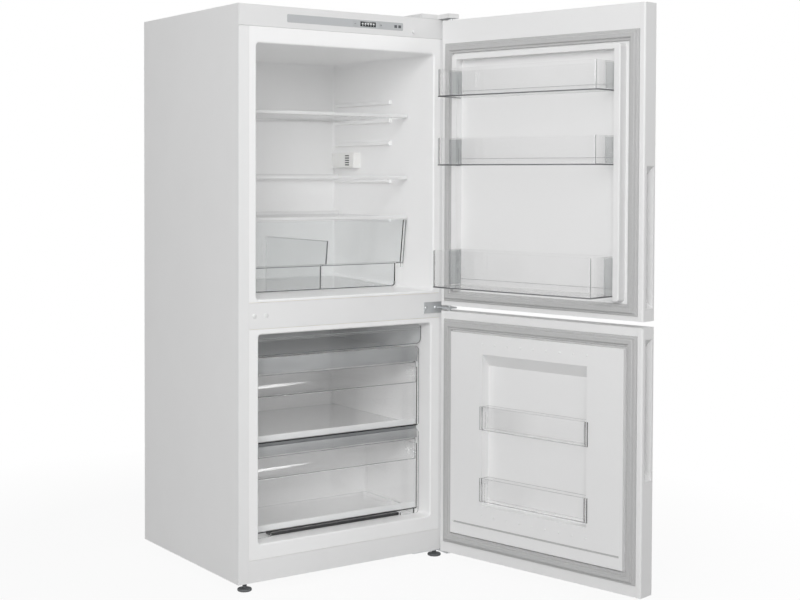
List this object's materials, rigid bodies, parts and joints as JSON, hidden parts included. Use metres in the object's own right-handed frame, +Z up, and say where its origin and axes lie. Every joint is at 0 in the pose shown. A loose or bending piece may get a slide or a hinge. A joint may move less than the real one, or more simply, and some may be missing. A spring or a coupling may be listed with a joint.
{
  "type": "fridge freezer",
  "caption": "Free-standing upright fridge freezer with both doors open, glass shelves, crisper, freezer drawers, flap and clear door bins.",
  "frame": {"origin": "on the floor under the middle of the cabinet's plan", "axes": "+X to the right seen from the front, +Y to the back, +Z up"},
  "size_m": [0.7352, 1.1349, 1.371],
  "materials": {
    "white_paint": "white powder coat, satin",
    "white_liner": "white polystyrene, vacuum formed, soft gloss",
    "white_plastic": "white moulded plastic, soft gloss",
    "grey_plastic": "grey moulded plastic, matt",
    "dark_plastic": "black moulded plastic, matt",
    "clear_plastic": "clear polystyrene, glossy",
    "smoky_plastic": "smoke-tinted clear polystyrene, glossy",
    "glass": "toughened float glass",
    "gasket": "soft grey magnetic gasket",
    "black_rubber": "black rubber",
    "zinc_steel": "zinc-plated steel",
    "black_paint": "black paint, satin",
    "galvanised": "galvanised sheet steel",
    "aluminium": "bare aluminium",
    "foam": "rigid polyurethane foam"
  },
  "bodies": {
    "cabinet": {"side_panels": "white_paint", "top_panel": "white_plastic", "back_panel": "galvanised", "cabinet_foam": "foam", "fridge_liner": "white_liner", "freezer_liner": "white_liner", "centre_rail": "white_paint", "bottom_rail": "white_paint", "base_pan": "galvanised", "control_fascia": "white_plastic", "display_strip": "grey_plastic", "lamp_cover": "clear_plastic", "top_hinge": "zinc_steel", "top_hinge_cover": "white_plastic", "middle_hinge": "zinc_steel", "bottom_hinge": "zinc_steel", "hinge_screws": "zinc_steel", "compressor": "black_paint", "compressor_mounts": "black_rubber", "relay_box": "dark_plastic", "condenser": "black_paint", "drip_tray": "dark_plastic", "drain_tube": "white_plastic", "cord_gland": "black_rubber", "fridge_evaporator": "aluminium", "freezer_evaporators": "aluminium"},
    "fridge_door": {"fridge_door_skin": "white_paint", "fridge_door_trim": "white_plastic", "fridge_door_foam": "foam", "fridge_door_liner": "white_liner", "fridge_door_gasket": "gasket"},
    "freezer_door": {"freezer_door_skin": "white_paint", "freezer_door_trim": "white_plastic", "freezer_door_foam": "foam", "freezer_door_liner": "white_liner", "freezer_door_gasket": "gasket"},
    "upper_shelf": {"upper_shelf_glass": "glass", "upper_shelf_trims": "white_plastic"},
    "middle_shelf": {"middle_shelf_glass": "glass", "middle_shelf_trims": "white_plastic"},
    "crisper_cover": {"crisper_cover_glass": "glass", "crisper_cover_trims": "white_plastic"},
    "crisper": {"crisper_drawer": "clear_plastic"},
    "divider": {"crisper_divider": "clear_plastic"},
    "flap": {"freezer_flap": "smoky_plastic"},
    "upper_drawer": {"freezer_drawer_upper": "clear_plastic"},
    "lower_drawer": {"freezer_drawer_lower": "clear_plastic"},
    "top_bin": {"door_bin_top": "clear_plastic"},
    "middle_bin": {"door_bin_middle": "clear_plastic"},
    "bottom_bin": {"door_bin_bottom": "clear_plastic"},
    "upper_freezer_bin": {"freezer_bin_upper": "clear_plastic"},
    "lower_freezer_bin": {"freezer_bin_lower": "clear_plastic"},
    "minus_key": {"minus_button": "grey_plastic"},
    "plus_key": {"plus_button": "grey_plastic"},
    "switch_plunger": {"door_switch": "white_plastic"},
    "left_foot": {"levelling_foot_left": "dark_plastic"},
    "right_foot": {"levelling_foot_right": "dark_plastic"},
    "left_roller": {"rear_roller_left": "dark_plastic"},
    "right_roller": {"rear_roller_right": "dark_plastic"}
  },
  "joints": [
    {"name": "fridge_door_hinge", "type": "hinge", "parent": "cabinet", "child": "fridge_door", "pos_m": [0.284, -0.284, 1], "axis": [0, 0, 1], "range_deg": [-102.2, 15.8]},
    {"name": "freezer_door_hinge", "type": "hinge", "parent": "cabinet", "child": "freezer_door", "pos_m": [0.284, -0.284, 0.32], "axis": [0, 0, 1], "range_deg": [-102.2, 15.8]},
    {"name": "top_bin_lift", "type": "slide", "parent": "fridge_door", "child": "top_bin", "axis": [0, 0, 1], "range_m": [0, 0.025]},
    {"name": "middle_bin_lift", "type": "slide", "parent": "fridge_door", "child": "middle_bin", "axis": [0, 0, 1], "range_m": [0, 0.03]},
    {"name": "bottom_bin_lift", "type": "slide", "parent": "fridge_door", "child": "bottom_bin", "axis": [0, 0, 1], "range_m": [0, 0.03]},
    {"name": "upper_freezer_bin_lift", "type": "slide", "parent": "freezer_door", "child": "upper_freezer_bin", "axis": [0, 0, 1], "range_m": [0, 0.03]},
    {"name": "lower_freezer_bin_lift", "type": "slide", "parent": "freezer_door", "child": "lower_freezer_bin", "axis": [0, 0, 1], "range_m": [0, 0.03]},
    {"name": "upper_shelf_slide", "type": "slide", "parent": "cabinet", "child": "upper_shelf", "axis": [0, -1, 0], "range_m": [0, 0.3]},
    {"name": "middle_shelf_slide", "type": "slide", "parent": "cabinet", "child": "middle_shelf", "axis": [0, -1, 0], "range_m": [0, 0.3]},
    {"name": "crisper_cover_slide", "type": "slide", "parent": "cabinet", "child": "crisper_cover", "axis": [0, -1, 0], "range_m": [0, 0.3]},
    {"name": "crisper_slide", "type": "slide", "parent": "cabinet", "child": "crisper", "axis": [0, -1, 0], "range_m": [0, 0.19]},
    {"name": "divider_lift", "type": "slide", "parent": "crisper", "child": "divider", "axis": [0, 0, 1], "range_m": [0, 0.03]},
    {"name": "upper_drawer_slide", "type": "slide", "parent": "cabinet", "child": "upper_drawer", "axis": [0, -1, 0], "range_m": [0, 0.3]},
    {"name": "lower_drawer_slide", "type": "slide", "parent": "cabinet", "child": "lower_drawer", "axis": [0, -1, 0], "range_m": [0, 0.2]},
    {"name": "flap_hinge", "type": "hinge", "parent": "cabinet", "child": "flap", "pos_m": [0, -0.2095, 0.579], "axis": [-1, 0, 0], "range_deg": [0, 88]},
    {"name": "minus_press", "type": "slide", "parent": "cabinet", "child": "minus_key", "axis": [0, 1, 0], "range_m": [0, 0.0008], "stiffness_N_per_m": 600},
    {"name": "plus_press", "type": "slide", "parent": "cabinet", "child": "plus_key", "axis": [0, 1, 0], "range_m": [0, 0.0008], "stiffness_N_per_m": 600},
    {"name": "switch_press", "type": "slide", "parent": "cabinet", "child": "switch_plunger", "axis": [0, 1, 0], "range_m": [0, 0.005], "stiffness_N_per_m": 300},
    {"name": "left_foot_turn", "type": "hinge", "parent": "cabinet", "child": "left_foot", "pos_m": [-0.274, -0.236, 0.01], "axis": [0, 0, 1], "continuous": true},
    {"name": "right_foot_turn", "type": "hinge", "parent": "cabinet", "child": "right_foot", "pos_m": [0.274, -0.236, 0.01], "axis": [0, 0, 1], "continuous": true},
    {"name": "left_roller_turn", "type": "hinge", "parent": "cabinet", "child": "left_roller", "pos_m": [-0.24, 0.214, 0.009], "axis": [1, 0, 0], "continuous": true},
    {"name": "right_roller_turn", "type": "hinge", "parent": "cabinet", "child": "right_roller", "pos_m": [0.24, 0.214, 0.009], "axis": [1, 0, 0], "continuous": true}
  ]
}
